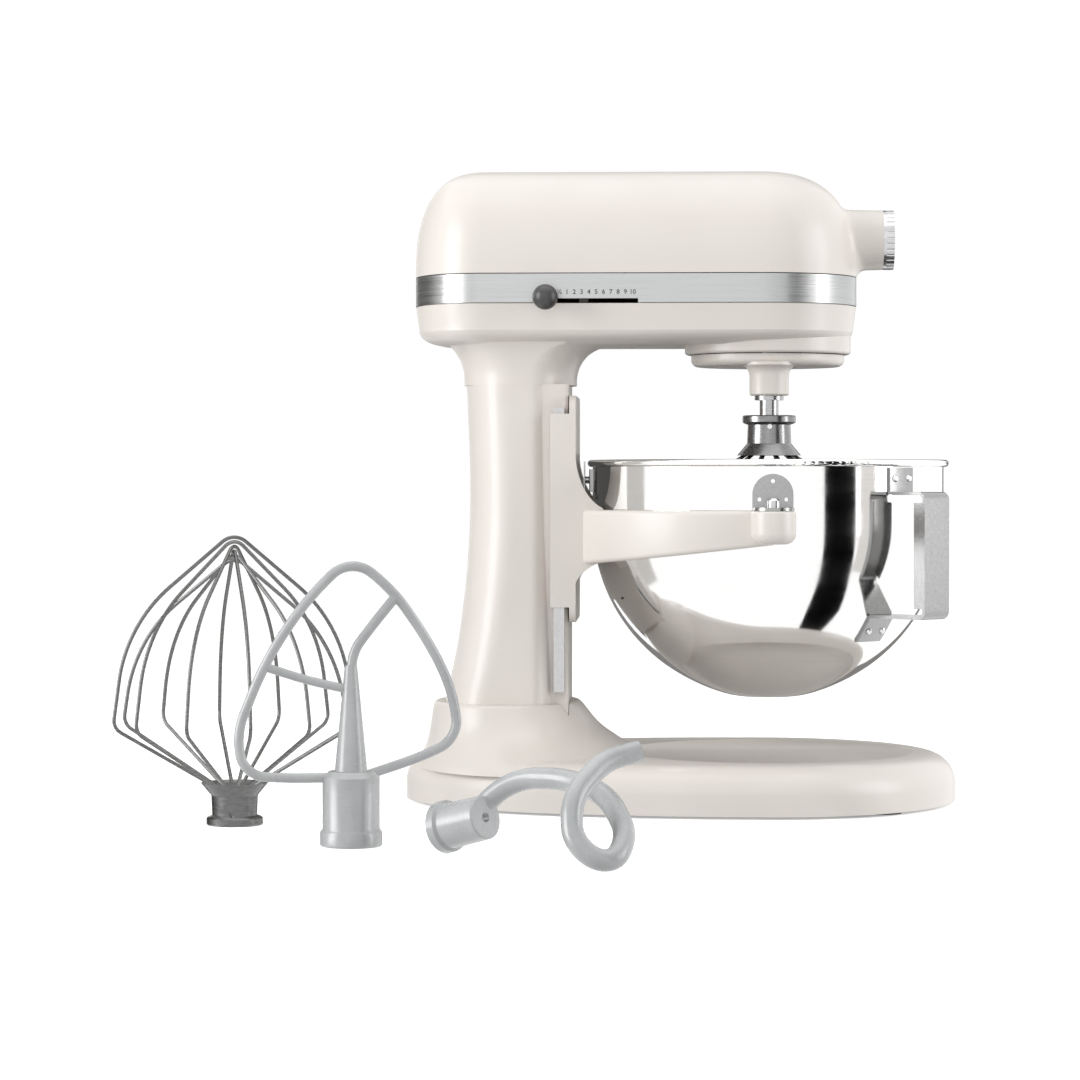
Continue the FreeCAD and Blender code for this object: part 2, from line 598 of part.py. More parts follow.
def make_cooling_fan():
    hub = along_x_tube(9, MOTOR_SHAFT_RADIUS, -108, -94, MOTOR_AXIS_Z)
    disc = along_x_tube(30, MOTOR_SHAFT_RADIUS, -108, -106.5, MOTOR_AXIS_Z)
    blade = block(-107, -96, -0.7, 0.7, MOTOR_AXIS_Z + 8, MOTOR_AXIS_Z + 29)
    blades = []
    for index in range(11):
        copy = blade.copy()
        copy.rotate(Vector(0, 0, MOTOR_AXIS_Z), FORWARD, index * 360 / 11)
        blades.append(copy)
    return hub.fuse([disc] + blades)


def make_armature():
    core = along_x_tube(ROTOR_RADIUS, MOTOR_SHAFT_RADIUS, STATOR_REAR + 3, STATOR_FRONT - 3, MOTOR_AXIS_Z)
    for index in range(12):
        groove = block(STATOR_REAR, STATOR_FRONT, -1.2, 1.2, MOTOR_AXIS_Z + 20, MOTOR_AXIS_Z + 27)
        groove.rotate(Vector(0, 0, MOTOR_AXIS_Z), FORWARD, index * 30)
        core = core.cut(groove)
    return core


def make_worm():
    module = 2 * WORM_WHEEL_RADIUS / WORM_TEETH
    root, tip = WORM_PITCH_RADIUS - 1.2 * module, WORM_PITCH_RADIUS + 0.85 * module
    lead = math.pi * module * WORM_STARTS
    threads = worm_thread(root, tip, lead, WORM_STARTS, 19.0, 0.95, 0.25)
    core = rod(root, -10.8, 10.8)
    body = core.fuse(threads)
    body = body.cut(rod(MOTOR_SHAFT_RADIUS, -12, 12))
    half_pitch = lead / WORM_STARTS / 2
    return moved(body, WHEEL_AT[0] - half_pitch, 0, MOTOR_AXIS_Z)


def make_planetary():
    dish = post(DISH_HEAD_RADIUS, DISH_HEAD_BOTTOM, DISH_HEAD_TOP)
    lower = [edge for edge in dish.Edges if edge.BoundBox.ZMax < DISH_HEAD_BOTTOM + 0.01]
    dish = dish.makeFillet(4.5, lower)
    neck = lathe([(0, 270), (12, 270), (13, 271), (13, 283), (13.6, 286), (15, 288.2), (17.5, 290),
                  (17.5, 292), (0, 292)])
    boss = post(15, DISH_HEAD_TOP - 1, RING_GEAR_TOP - 0.6)
    body = dish.fuse([moved(neck, 0, -BEATER_OFFSET), boss])
    body = body.cut(post(CENTRE_SHAFT_RADIUS, DISH_HEAD_BOTTOM + 2, RING_GEAR_TOP + 1))
    return body.cut(post(BEATER_BUSH, 260, DISH_HEAD_TOP + 1, 0, -BEATER_OFFSET))


def make_whisk_ferrule(wires):
    """Ferrule with its flange at z = 0, its mouth towards +Z and holes for the wires."""
    shell = lathe([(0, 0), (FERRULE_FLANGE - 0.8, 0), (FERRULE_FLANGE, 0.8), (FERRULE_FLANGE, 4.4),
                   (FERRULE_FLANGE - 0.8, 5.2), (FERRULE_BARREL, 6.2), (FERRULE_BARREL + 0.5, 18.5),
                   (FERRULE_MOUTH, FERRULE_LENGTH), (FERRULE_MOUTH - 1.2, FERRULE_LENGTH),
                   (FERRULE_BARREL - 1, 19.6), (0, 19.6)])
    plug = post(12.0, 18, FERRULE_LENGTH - 0.9)
    body = shell.fuse(plug)
    body = body.cut(post(BEATER_SHAFT_RADIUS + 0.1, -1, 16.5)).cut(post(3.5, 16, 30))
    body = body.cut(spindle(1.75, -20, 20, 0, FERRULE_TOP - PIN_Z))
    return body.cut(Part.makeCompound(wires))


def make_whisk_wires():
    """Nested loops, one plane each, that all start inside the ferrule's mouth."""
    mouth = FERRULE_LENGTH
    loops = []
    for index in range(WIRE_LOOPS):
        depth = WHISK_DEPTH - index * WIRE_STEP
        radius = WHISK_RADIUS - WIRE_RADIUS
        half = [(Vector(9.5, 0, mouth - 4.1), 0), (Vector(radius + 1.6, 0, mouth + 35), 9.0),
                (Vector(radius - 7.0, 0, mouth + depth * 0.66), 92.0)]
        tip = [(Vector(0, 0, mouth + depth + 6.2), 11.0)]
        other = [(Vector(-point.x, 0, point.z), fillet) for point, fillet in reversed(half)]
        loop = wire_solid(filleted_path(half + tip + other), WIRE_RADIUS)
        loops.append(turned(loop, 15 + index * 180 / WIRE_LOOPS))
    return loops


def attached(shape):
    """Turn a tool over and hang it on the beater shaft."""
    copy = shape.copy()
    copy.rotate(Vector(0, 0, 0), FORWARD, 180)
    return moved(copy, 0, -BEATER_OFFSET, FERRULE_TOP)


# ---- bowl and carriage ----------------------------------------------------------
def bowl_solid(inset):
    radius = BOWL_RADIUS - inset
    centre = Vector(0, 0, BOWL_STRAIGHT)
    top, side = Vector(radius, 0, BOWL_TOP), Vector(radius, 0, BOWL_STRAIGHT)
    slope = math.radians(51.5)

    def on_round(angle):
        return centre + Vector(radius * math.cos(angle), 0, -radius * math.sin(angle))

    low = on_round(slope)
    floor = BOWL_BOTTOM + inset
    corner = Vector(low.x - (low.z - floor) * math.tan(slope), 0, floor)
    foot = Vector(16, 0, floor)
    edges = [Part.LineSegment(top, side).toShape(),
             Part.Arc(side, on_round(slope / 2), low).toShape(),
             conic(low, corner, foot),
             Part.LineSegment(foot, Vector(0, 0, floor)).toShape(),
             Part.LineSegment(Vector(0, 0, floor), Vector(0, 0, BOWL_TOP)).toShape(),
             Part.LineSegment(Vector(0, 0, BOWL_TOP), top).toShape()]
    return Part.Face(Part.Wire(edges)).revolve(Vector(0, 0, 0), UP, 360)


def make_bowl():
    bead = Part.makeTorus(BOWL_RADIUS + 1.05, RIM_BEAD, Vector(0, 0, BOWL_TOP - RIM_BEAD), UP)
    hollow = bowl_solid(BOWL_WALL)
    lid = post(BOWL_RADIUS - BOWL_WALL - 0.3, BOWL_TOP - 8, BOWL_TOP + 2)
    return bowl_solid(0).fuse(bead).cut(hollow).cut(lid)


def make_side_bracket():
    """Curved plate on the bowl's side with a shelf that sits on the arm's boss."""
    low, high, half = YOKE_TOP + 0.2, 218.5, 13.0
    arch = block(-half, half, 100, 130, low, high - half).fuse(spindle(half, 100, 130, 0, high - half))
    shell = tube(BOWL_RADIUS + 1.9, BOWL_RADIUS + 0.1, low, high)
    plate = shell.common(arch)
    shelf = block(-half, half, BOWL_RADIUS - 2, BOSS_Y, low, low + 2)
    shelf = shelf.fuse(post(half, low, low + 2, 0, BOSS_Y))
    shelf = shelf.cut(post(BOWL_RADIUS + 0.1, low - 1, low + 3))
    rib = polygon([Vector(-5.5, BOWL_RADIUS + 1, low + 1), Vector(5.5, BOWL_RADIUS + 1, low + 1),
                   Vector(3.2, BOWL_RADIUS + 1, high - 9), Vector(-3.2, BOWL_RADIUS + 1, high - 9)])
    rib = rib.extrude(Vector(0, 3.6, 0))
    body = plate.fuse([shelf, rib])
    for x, z in ((-8.6, low + 7), (8.6, low + 7), (0, high - 4.6)):
        body = body.cut(spindle(1.3, 110, 130, x, z))
    return body.cut(post(PIN_RADIUS + 0.3, low - 1, low + 3, 0, BOSS_Y))


def make_bowl_handle():
    """Strip bent into a grip, with folded flanges, welded to the bowl by two tabs."""
    half, thick = HANDLE_WIDTH / 2, HANDLE_THICK
    wall = BOWL_RADIUS + 0.1
    low_wall = 101.0
    outer = [Vector(wall, 0, HANDLE_TOP), Vector(HANDLE_REACH, 0, HANDLE_TOP),
             Vector(HANDLE_REACH, 0, HANDLE_BOTTOM), Vector(low_wall, 0, HANDLE_BOTTOM)]
    inner = [Vector(low_wall + 1, 0, HANDLE_BOTTOM + thick),
             Vector(HANDLE_REACH - thick, 0, HANDLE_BOTTOM + thick),
             Vector(HANDLE_REACH - thick, 0, HANDLE_TOP - thick), Vector(wall, 0, HANDLE_TOP - thick)]
    strip = polygon(outer + inner).extrude(Vector(0, HANDLE_WIDTH, 0))
    strip.translate(Vector(0, -half, 0))
    bends = [edge for edge in strip.Edges
             if edge.BoundBox.YLength > 1 and edge.BoundBox.XMin > HANDLE_REACH - thick - 0.1]
    outside = [edge for edge in bends if edge.BoundBox.XMin > HANDLE_REACH - 0.1]
    inside = [edge for edge in bends if edge.BoundBox.XMin < HANDLE_REACH - 0.1]
    strip = strip.makeFillet(5.5, outside).makeFillet(5.5 - thick, inside)
    flanges = [block(HANDLE_REACH - 9, HANDLE_REACH - 0.6, y, y + 1.4, HANDLE_BOTTOM + 7, HANDLE_TOP - 7)
               for y in (-half, half - 1.4)]
    upper = block(wall - 3, wall + 8, -half + 1, half - 1, HANDLE_TOP - thick, HANDLE_TOP + 15.5)
    upper = upper.common(tube(wall + 1.7, wall, HANDLE_TOP - thick, HANDLE_TOP + 15.5))
    lower = block(60, 125, -half + 1, half - 1, HANDLE_BOTTOM - 16, HANDLE_BOTTOM + thick)
    lower = lower.common(bowl_solid(-1.8)).cut(bowl_solid(-0.1))
    body = strip.fuse(flanges + [upper, lower])
    return turned(body.cut(bowl_solid(-0.1)), HANDLE_ANGLE)


def make_rivets():
    """Domed rivets of the handle's two tabs."""
    rivets = []
    drop = BOWL_STRAIGHT - (HANDLE_BOTTOM - 9)
    skin = BOWL_RADIUS + 1.75
    places = [(skin, HANDLE_TOP + 8.5, 0.0),
              (math.sqrt(skin ** 2 - drop ** 2), BOWL_STRAIGHT - drop,
               -math.degrees(math.asin(drop / skin)))]
    for radius, height, tilt in places:
        for y in (-6.5, 6.5):
            dome = Part.makeCone(2.4, 1.5, 1.2, Vector(0, 0, 0), FORWARD)
            dome.rotate(Vector(0, 0, 0), LEFT, -tilt)
            rivets.append(turned(moved(dome, radius, y, height), HANDLE_ANGLE))
    return rivets


def make_rear_bracket():
    clip = block(-BOWL_RADIUS - 8, -BOWL_RADIUS + 4, -15, 15, 206.5, 221.7)
    clip = clip.common(tube(BOWL_RADIUS + 2.4, BOWL_RADIUS + 0.1, 206.5, 221.7))
    pin = rod(2.4, -BOWL_RADIUS - 5.6, -BOWL_RADIUS - 2.0, 0, 214.5)
    return clip.fuse(pin)


def make_latch_spring():
    blade = block(-122.9, -122.2, -9, 9, 203.5, 227)
    blade = blade.cut(rod(3.4, -125, -120, 0, 214.5))
    eye = spindle(LATCH_EYE, -9, 9, PLATE_FRONT + 0.05 + LATCH_EYE, LATCH_EYE_Z)
    foot = block(PLATE_FRONT + 0.05 + LATCH_EYE, -122.2, -9, 9, LATCH_EYE_Z - 0.8, LATCH_EYE_Z + 0.8)
    return blade.fuse([eye, foot])


def make_gusset():
    """Coved web, above and below, between the plate's edge and the root of an arm."""
    rear, ahead = PLATE_FRONT - 1, -104.0
    top, low = YOKE_TOP + 33, YOKE_ROOT - 12
    profile = [
        Part.LineSegment(Vector(rear, 0, low), Vector(rear, 0, top)).toShape(),
        Part.LineSegment(Vector(rear, 0, top), Vector(PLATE_FRONT, 0, top)).toShape(),
        conic(Vector(PLATE_FRONT, 0, top), Vector(PLATE_FRONT + 3, 0, YOKE_TOP),
              Vector(ahead, 0, YOKE_TOP)),
        Part.LineSegment(Vector(ahead, 0, YOKE_TOP), Vector(ahead, 0, YOKE_ROOT + 4)).toShape(),
        conic(Vector(ahead, 0, YOKE_ROOT + 4), Vector(PLATE_FRONT + 4, 0, YOKE_ROOT + 0.6),
              Vector(PLATE_FRONT, 0, low)),
        Part.LineSegment(Vector(PLATE_FRONT, 0, low), Vector(rear, 0, low)).toShape(),
    ]
    gusset = Part.Face(Part.Wire(profile)).extrude(Vector(0, 16, 0))
    return moved(gusset, 0, CARRIAGE_HALF - 16)


def make_bowl_support():
    plate = block(PLATE_BACK, PLATE_FRONT, -CARRIAGE_HALF, CARRIAGE_HALF, CARRIAGE_LOW, CARRIAGE_HIGH)
    corners = [edge for edge in plate.Edges if edge.BoundBox.XLength > 1]
    plate = plate.makeFillet(9.0, corners)
    inner = CARRIAGE_HALF - CHEEK_THICK
    lip_front = RAIL_REAR - SLIDE_GAP
    low, high = CARRIAGE_LOW + 10, CARRIAGE_HIGH - 12
    cheek = block(lip_front - 1.8, PLATE_BACK + 1, inner, CARRIAGE_HALF, low, high)
    lip = block(lip_front - 1.8, lip_front, TONGUE_HALF + 1.2, CARRIAGE_HALF, low, high)
    gusset = make_gusset()
    arms = tube(YOKE_OUTER, YOKE_INNER, YOKE_ROOT, YOKE_TOP).common(block(-140, 0, -140, 140, 150, 200))
    slope = polygon([Vector(-128, -160, YOKE_ROOT), Vector(20, -160, YOKE_TIP + 1.8), Vector(20, -160, 140),
                     Vector(-128, -160, 140)]).extrude(Vector(0, 320, 0))
    arms = arms.cut(block(-140, PLATE_FRONT, -140, 140, 150, 200)).cut(slope)
    outside = [edge for edge in arms.Edges
               if edge.Length > BOSS_Y / 2 and off_axis(edge) > YOKE_OUTER - 0.1]
    arms = arms.makeFillet(ARM_EDGE, outside)
    boss = post(BOSS_RADIUS, YOKE_TIP, YOKE_TOP, 0, BOSS_Y)
    boss = boss.makeFillet(7.0, [edge for edge in boss.Edges if edge.BoundBox.ZMax < YOKE_TIP + 0.01])
    boss = boss.makeFillet(1.6, [edge for edge in boss.Edges if edge.BoundBox.ZMin > YOKE_TOP - 0.01])
    body = plate.fuse([cheek, lip, gusset, mirrored(cheek), mirrored(lip), mirrored(gusset), arms])
    body = body.cut(post(YOKE_INNER, YOKE_ROOT - 20, CARRIAGE_HIGH))
    body = body.fuse([boss, mirrored(boss)]).cut(post(YOKE_INNER - 2.6, YOKE_ROOT - 1, YOKE_TOP + 1))
    lug = block(LUG_REAR, PLATE_BACK + 1, -LUG_HALF, LUG_HALF, LUG_BOTTOM, LUG_TOP)
    slot = block(LUG_REAR - 1, LIFT_X - CRANK_REACH, -10, 10,
                 LUG_CENTRE - SLOT_HALF, LUG_CENTRE + SLOT_HALF)
    slot = slot.fuse(spindle(SLOT_HALF, -10, 10, LIFT_X - CRANK_REACH, LUG_CENTRE))
    body = body.fuse(lug.cut(slot))
    for side in (-1, 1):
        body = body.cut(post(PIN_RADIUS, YOKE_TOP - 8, YOKE_TOP + 1, 0, side * BOSS_Y))
    return body


# ---- lift lever -----------------------------------------------------------------
def make_lift_shaft():
    """Shaft with its crank and crank pin; the crank points up and to the rear."""
    shaft = spindle(LIFT_SHAFT_RADIUS, 5.5, 74, LIFT_X, LIFT_Z)
    crank = block(-CRANK_RADIUS, 0, 5.5, 11.5, -5, 5)
    crank = crank.fuse([spindle(8, 5.5, 11.5), spindle(5, 5.5, 11.5, -CRANK_RADIUS)])
    pin = spindle(CRANK_PIN_RADIUS, -6, 6, -CRANK_RADIUS)
    crank = crank.fuse(pin)
    crank.rotate(Vector(0, 0, 0), LEFT, 45)
    return shaft.fuse(moved(crank, LIFT_X, 0, LIFT_Z))


def make_lift_handle():
    hub = spindle(9.5, 62, 71, LIFT_X, LIFT_Z)
    arm = Part.makeCone(5.2, 4.0, LEVER_LENGTH - 30, Vector(LIFT_X, 66.5, LIFT_Z), UP)
    return hub.fuse(arm).cut(spindle(LIFT_SHAFT_RADIUS, 50, 80, LIFT_X, LIFT_Z))


def make_lift_grip():
    top = LIFT_Z + LEVER_LENGTH
    grip = lathe([(0, top), (4, top - 0.6), (6.6, top - 4), (7.2, top - 12), (6.2, top - 28),
                  (5.4, top - 38), (0, top - 38)])
    arm = Part.makeCone(5.2, 4.0, LEVER_LENGTH - 30, Vector(0, 0, LIFT_Z), UP)
    return moved(grip.cut(arm), LIFT_X, 66.5)


# ---- loose tools ----------------------------------------------------------------
def make_flat_beater():
    """Beater standing on its hub: hub, tapered stem, frame and two inner bars."""
    def at(x, z):
        return Vector(x, 0, z)

    rod_radius = 2.9
    hub = lathe([(0, 0), (17.3, 0), (18.3, 1.0), (18.3, 8.2),
                 (16.8, 10.4), (16.8, 40.5), (13, 44), (0, 44)])
    frame = rounded_path([at(-8, 40.3), at(-38, 40.3), at(-63, 42.5), at(-67.5, 67), at(-50, 110),
                          at(-26, 145), at(0, 170), at(25, 150), at(46, 120), at(60, 92),
                          at(64.5, 62), at(40, 51), at(8, 41)])
    stem = Part.makeCone(10.0, 3.6, 66, Vector(0, 0, 40), UP)
    branch = rounded_path([at(0, 98), at(1.0, 114), at(14, 131), at(26.5, 146)])
    bar = rounded_path([at(-2, 92), at(-26, 97.5), at(-51.5, 106)])
    bars = [wire_solid(branch, 2.9), wire_solid(bar, 2.6)]
    body = hub.fuse([stem, wire_solid(frame, rod_radius)] + bars)
    body = body.cut(post(BEATER_SHAFT_RADIUS + 0.1, -1, 30))
    return moved(turned(body, 14), *BEATER_AT)


def make_dough_hook():
    """Hook lying on the table: a stub hub and a rod bent into an open spiral."""
    points = [Vector(27, 97, 22), Vector(40, 97, 37), Vector(56, 92, 45), Vector(80, 78, 46),
              Vector(104, 51, 40), Vector(116, 20, 20), Vector(107, 0.5, 4.6), Vector(86, 3, 17),
              Vector(85, 17, 42), Vector(103, 37, 60), Vector(121, 49, 64)]
    hook = wire_solid(rounded_path(points), HOOK_ROD)
    hub = lathe([(0, 0), (14.2, 0), (15.0, 0.8), (15.0, 6.0),
                 (13.2, 7.6), (12.6, 33.5), (11.8, 34.3), (0, 34.3)])
    hub = hub.cut(post(BEATER_SHAFT_RADIUS + 0.1, -1, 24)).cut(post(3, 20, 40))
    hub.rotate(Vector(0, 0, 0), LEFT, 90)
    hub.rotate(Vector(0, 0, 0), LEFT, -HUB_TILT)
    hub.rotate(Vector(0, 0, 0), UP, -38)
    hub.translate(Vector(8, 108, 15.0 * math.cos(math.radians(HUB_TILT)) + 0.05))
    return moved(hook.fuse(hub), *HOOK_AT)


# ---- root body ------------------------------------------------------------------
save("base", make_base())
save("base_plate", prism(base_outline(FOOT_HEIGHT, BASE_WALL + 0.2), 2.0))
feet = ((0, 0), (72, 84), (72, -84), (-60, 92), (-60, -92), (-200, 52), (-200, -52))
save("rubber_feet", *[post(12, 0, FOOT_HEIGHT, x, y) for x, y in feet])
save("column", make_column())
save("guide_rails", make_rail(), mirrored(make_rail()))
save("lower_housing", make_lower_housing())
save("trim_band", make_trim_band())
save("head_cover", make_head_cover())
sleeve = rod(HUB_SLEEVE, 36, HUB_END - 0.6, 0, HUB_AXIS_Z)
sleeve = sleeve.cut(rod(HUB_SPINDLE + RUNNING_FIT, 30, 80, 0, HUB_AXIS_Z))
sleeve = sleeve.cut(rod(HUB_BORE, HUB_MOUTH, 80, 0, HUB_AXIS_Z))
screw_bore = spindle(KNOB_SCREW_BORE, 0, 30, KNOB_X, HUB_AXIS_Z)
save("hub_sleeve", sleeve.cut(screw_bore))
save("ring_gear", internal_gear(GEAR_MODULE, RING_TEETH, RING_GEAR_OUTER,
                                RING_BOTTOM + 0.8, RING_GEAR_TOP, -90))
save("gear_bracket", make_gear_bracket())
save("shaft_bushes", *make_shaft_bushes())
save("motor_stator", make_stator())
save("motor_bearings", *[along_x_tube(MOTOR_BEARING, MOTOR_SHAFT_RADIUS + RUNNING_FIT,
                                      x, x + 6, MOTOR_AXIS_Z)
                         for x in (-207, -66)])
save("brush_holders", *make_brush_holders())
board = block(-158, -84, -47, -45.4, 335, 347)
standoffs = [spindle(2.5, -58.6, -46, x, 341) for x in (-152, -90)]
save("control_board", board.fuse(standoffs))
gland = rod(GLAND_RADIUS, -232.6, -223, 0, GLAND_Z).cut(rod(3.6, -240, -220, 0, GLAND_Z))
save("cord_gland", gland)
bush = spindle(BUSH_RADIUS, 36, 61, LIFT_X, LIFT_Z)
bush = bush.cut(spindle(LIFT_SHAFT_RADIUS + RUNNING_FIT, 30, 70, LIFT_X, LIFT_Z))
save("lever_bush", bush)

# ---- planetary body -------------------------------------------------------------
save("planetary_dish", make_planetary())
save("centre_shaft", post(CENTRE_SHAFT_RADIUS, DISH_HEAD_BOTTOM + 2, CENTRE_SHAFT_TOP))
save("centre_gear", spur_gear(GEAR_MODULE, CENTRE_TEETH, CENTRE_SHAFT_RADIUS, CENTRE_GEAR_BOTTOM,
                              CENTRE_GEAR_TOP,
                              first_tooth=math.degrees(math.atan2(WHEEL_AT[1], WHEEL_AT[0]))))
bevel = bevel_gear(BEVEL_MODULE, BEVEL_CENTRE_TEETH, BEVEL_HUB_TEETH, CENTRE_SHAFT_RADIUS, 7.0, 0)
bevel_depth = BEVEL_MODULE * BEVEL_HUB_TEETH / 2
collar = tube(12, CENTRE_SHAFT_RADIUS, -bevel_depth - 5, -bevel_depth)
save("shaft_bevel", moved(bevel.fuse(collar), 0, 0, HUB_AXIS_Z))
save("beater_bushes", *[tube(BEATER_BUSH, BEATER_SHAFT_RADIUS + RUNNING_FIT, z0, z1, 0, -BEATER_OFFSET)
                        for z0, z1 in ((270.4, 280), (288, DISH_HEAD_TOP))])

# ---- beater body ----------------------------------------------------------------
beater_shaft = post(BEATER_SHAFT_RADIUS, SHAFT_END, RING_GEAR_TOP - 0.8, 0, -BEATER_OFFSET)
save("beater_shaft", beater_shaft.cut(spindle(1.6, -60, 0, 0, PIN_Z)))
save("beater_pinion", spur_gear(GEAR_MODULE, PLANET_TEETH, BEATER_SHAFT_RADIUS, RING_BOTTOM + 1.2,
                                RING_GEAR_TOP - 1.2, 0, -BEATER_OFFSET, -90))
save("drive_pin", spindle(1.6, -BEATER_OFFSET - 13.5, -BEATER_OFFSET + 13.5, 0, PIN_Z))
save("shaft_collar", tube(9.5, BEATER_SHAFT_RADIUS, 267, 269.7, 0, -BEATER_OFFSET))
wires = make_whisk_wires()
ferrule = make_whisk_ferrule(wires)
save("whisk_ferrule", attached(ferrule))
save("whisk_wires", *[attached(wire) for wire in wires])

# ---- wheel and motor bodies -----------------------------------------------------
save("wheel_shaft", post(WHEEL_SHAFT_RADIUS, RING_GEAR_TOP + 4, 366, *WHEEL_AT))
toward_centre = math.degrees(math.atan2(-WHEEL_AT[1], -WHEEL_AT[0]))
save("wheel_pinion", spur_gear(GEAR_MODULE, WHEEL_PINION_TEETH, WHEEL_SHAFT_RADIUS, CENTRE_GEAR_BOTTOM,
                               CENTRE_GEAR_TOP, *WHEEL_AT, toward_centre + 180 / WHEEL_PINION_TEETH))
save("worm_wheel", spur_gear(2 * WORM_WHEEL_RADIUS / WORM_TEETH, WORM_TEETH, WHEEL_SHAFT_RADIUS,
                             MOTOR_AXIS_Z - 2.5, MOTOR_AXIS_Z + 2.5, *WHEEL_AT, -90))
save("motor_shaft", rod(MOTOR_SHAFT_RADIUS, -209, -20.5, 0, MOTOR_AXIS_Z))
save("worm", make_worm())
save("armature", make_armature())
save("commutator", along_x_tube(12, MOTOR_SHAFT_RADIUS, -188, -172, MOTOR_AXIS_Z))
save("cooling_fan", make_cooling_fan())

# ---- hub drive and its cap ------------------------------------------------------
half_tooth = 180 / BEVEL_HUB_TEETH
hub_bevel = bevel_gear(BEVEL_MODULE, BEVEL_HUB_TEETH, BEVEL_CENTRE_TEETH, 6.0, 7.0, half_tooth)
hub_depth = BEVEL_MODULE * BEVEL_CENTRE_TEETH / 2
hub_bevel = hub_bevel.fuse(tube(9.5, 6.0, -hub_depth - 5, -hub_depth))
hub_bevel.rotate(Vector(0, 0, 0), LEFT, -90)
save("hub_bevel", moved(hub_bevel, 0, 0, HUB_AXIS_Z))
hub_spindle = rod(6.0, 11.5, 40, 0, HUB_AXIS_Z).fuse([rod(HUB_SPINDLE, 35.7, HUB_MOUTH - 0.5, 0, HUB_AXIS_Z),
                                                    rod(13, 31, 35.7, 0, HUB_AXIS_Z)])
socket = block(HUB_MOUTH - 16, HUB_MOUTH + 4, -HALF_SQUARE, HALF_SQUARE,
               HUB_AXIS_Z - HALF_SQUARE, HUB_AXIS_Z + HALF_SQUARE)
save("hub_spindle", hub_spindle.cut(socket))
cap = rod(HUB_RADIUS - 0.2, HUB_END, 83.5, 0, HUB_AXIS_Z)
flute = rod(0.9, HUB_END + 2.0, 90, HUB_RADIUS + 0.3, HUB_AXIS_Z)
flutes = []
for index in range(32):
    copy = flute.copy()
    copy.rotate(Vector(0, 0, HUB_AXIS_Z), FORWARD, index * 360 / 32)
    flutes.append(copy)
cap = cap.cut(Part.makeCompound(flutes))
save("hub_cap", cap)
screw = spindle(KNOB_SCREW, 14.4, 32, KNOB_X, HUB_AXIS_Z)
grip = spindle(8.0, 24, 38, KNOB_X, HUB_AXIS_Z)
grip = grip.makeFillet(2.5, [edge for edge in grip.Edges if edge.BoundBox.YMin > 37.9])
save("attachment_knob", screw.fuse(grip))

# ---- speed lever ----------------------------------------------------------------
blade = block(LEVER_X - LEVER_BLADE_WIDTH / 2, LEVER_X + LEVER_BLADE_WIDTH / 2, -71, -44, LEVER_BLADE_Z,
              LEVER_BLADE_Z + LEVER_BLADE_THICK)
save("speed_lever", blade)
ball = Part.makeSphere(KNOB_RADIUS, Vector(LEVER_X, KNOB_Y, KNOB_Z))
save("speed_knob", ball.cut(blade))

# ---- carriage body --------------------------------------------------------------
save("bowl_support", make_bowl_support())
pin = post(PIN_RADIUS, YOKE_TOP - 8, 203, 0, BOSS_Y)
pin = pin.makeChamfer(1.5, [edge for edge in pin.Edges if edge.BoundBox.ZMin > 202.9])
save("locating_pins", pin, mirrored(pin))
save("bowl", make_bowl())
side_bracket = make_side_bracket()
save("bowl_side_brackets", side_bracket, mirrored(side_bracket))
save("bowl_rear_bracket", make_rear_bracket())
save("bowl_handle", make_bowl_handle())
save("bowl_rivets", *make_rivets())
save("latch_spring", make_latch_spring())

# ---- lift lever body ------------------------------------------------------------
save("lift_shaft", make_lift_shaft())
save("lift_handle", make_lift_handle())
save("lift_grip", make_lift_grip())

# ---- loose tools ----------------------------------------------------------------
save("spare_whisk_ferrule", moved(ferrule, *SPARE_WHISK_AT))
save("spare_whisk_wires", *[moved(wire, *SPARE_WHISK_AT) for wire in wires])
save("flat_beater", make_flat_beater())
save("dough_hook", make_dough_hook())
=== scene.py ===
import json
import math

import bmesh
import bpy
from mathutils import Matrix, Vector


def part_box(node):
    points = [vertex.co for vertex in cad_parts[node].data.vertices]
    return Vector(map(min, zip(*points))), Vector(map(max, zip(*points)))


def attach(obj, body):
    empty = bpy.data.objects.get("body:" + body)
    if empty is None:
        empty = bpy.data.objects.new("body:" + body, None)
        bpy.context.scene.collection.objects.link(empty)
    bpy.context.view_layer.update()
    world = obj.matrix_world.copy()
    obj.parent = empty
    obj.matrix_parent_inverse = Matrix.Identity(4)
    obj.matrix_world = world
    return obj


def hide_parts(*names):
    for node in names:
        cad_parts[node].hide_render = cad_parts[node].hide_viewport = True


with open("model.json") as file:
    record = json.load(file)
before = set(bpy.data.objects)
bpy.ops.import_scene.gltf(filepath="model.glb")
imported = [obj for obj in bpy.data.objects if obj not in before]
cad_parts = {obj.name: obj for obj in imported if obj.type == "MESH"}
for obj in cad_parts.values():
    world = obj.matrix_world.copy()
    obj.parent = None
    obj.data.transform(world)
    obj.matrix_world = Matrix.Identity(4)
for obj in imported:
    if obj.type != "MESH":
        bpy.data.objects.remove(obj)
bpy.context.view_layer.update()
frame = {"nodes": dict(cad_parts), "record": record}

MM = 0.001
NODES = frame["nodes"]
RECORD = frame["record"]
SLOT_OF = {part["node"]: part["material_slot"] for part in RECORD["subparts"]}
BODY_OF = {node: body for body, names in RECORD["behaviour"]["bodies"].items() for node in names}


# ---- material building blocks ---------------------------------------------------
# The noise values between which colour and roughness run from low to high.
COLOUR_SPAN = (0.35, 0.65)
ROUGHNESS_SPAN = (0.3, 0.7)


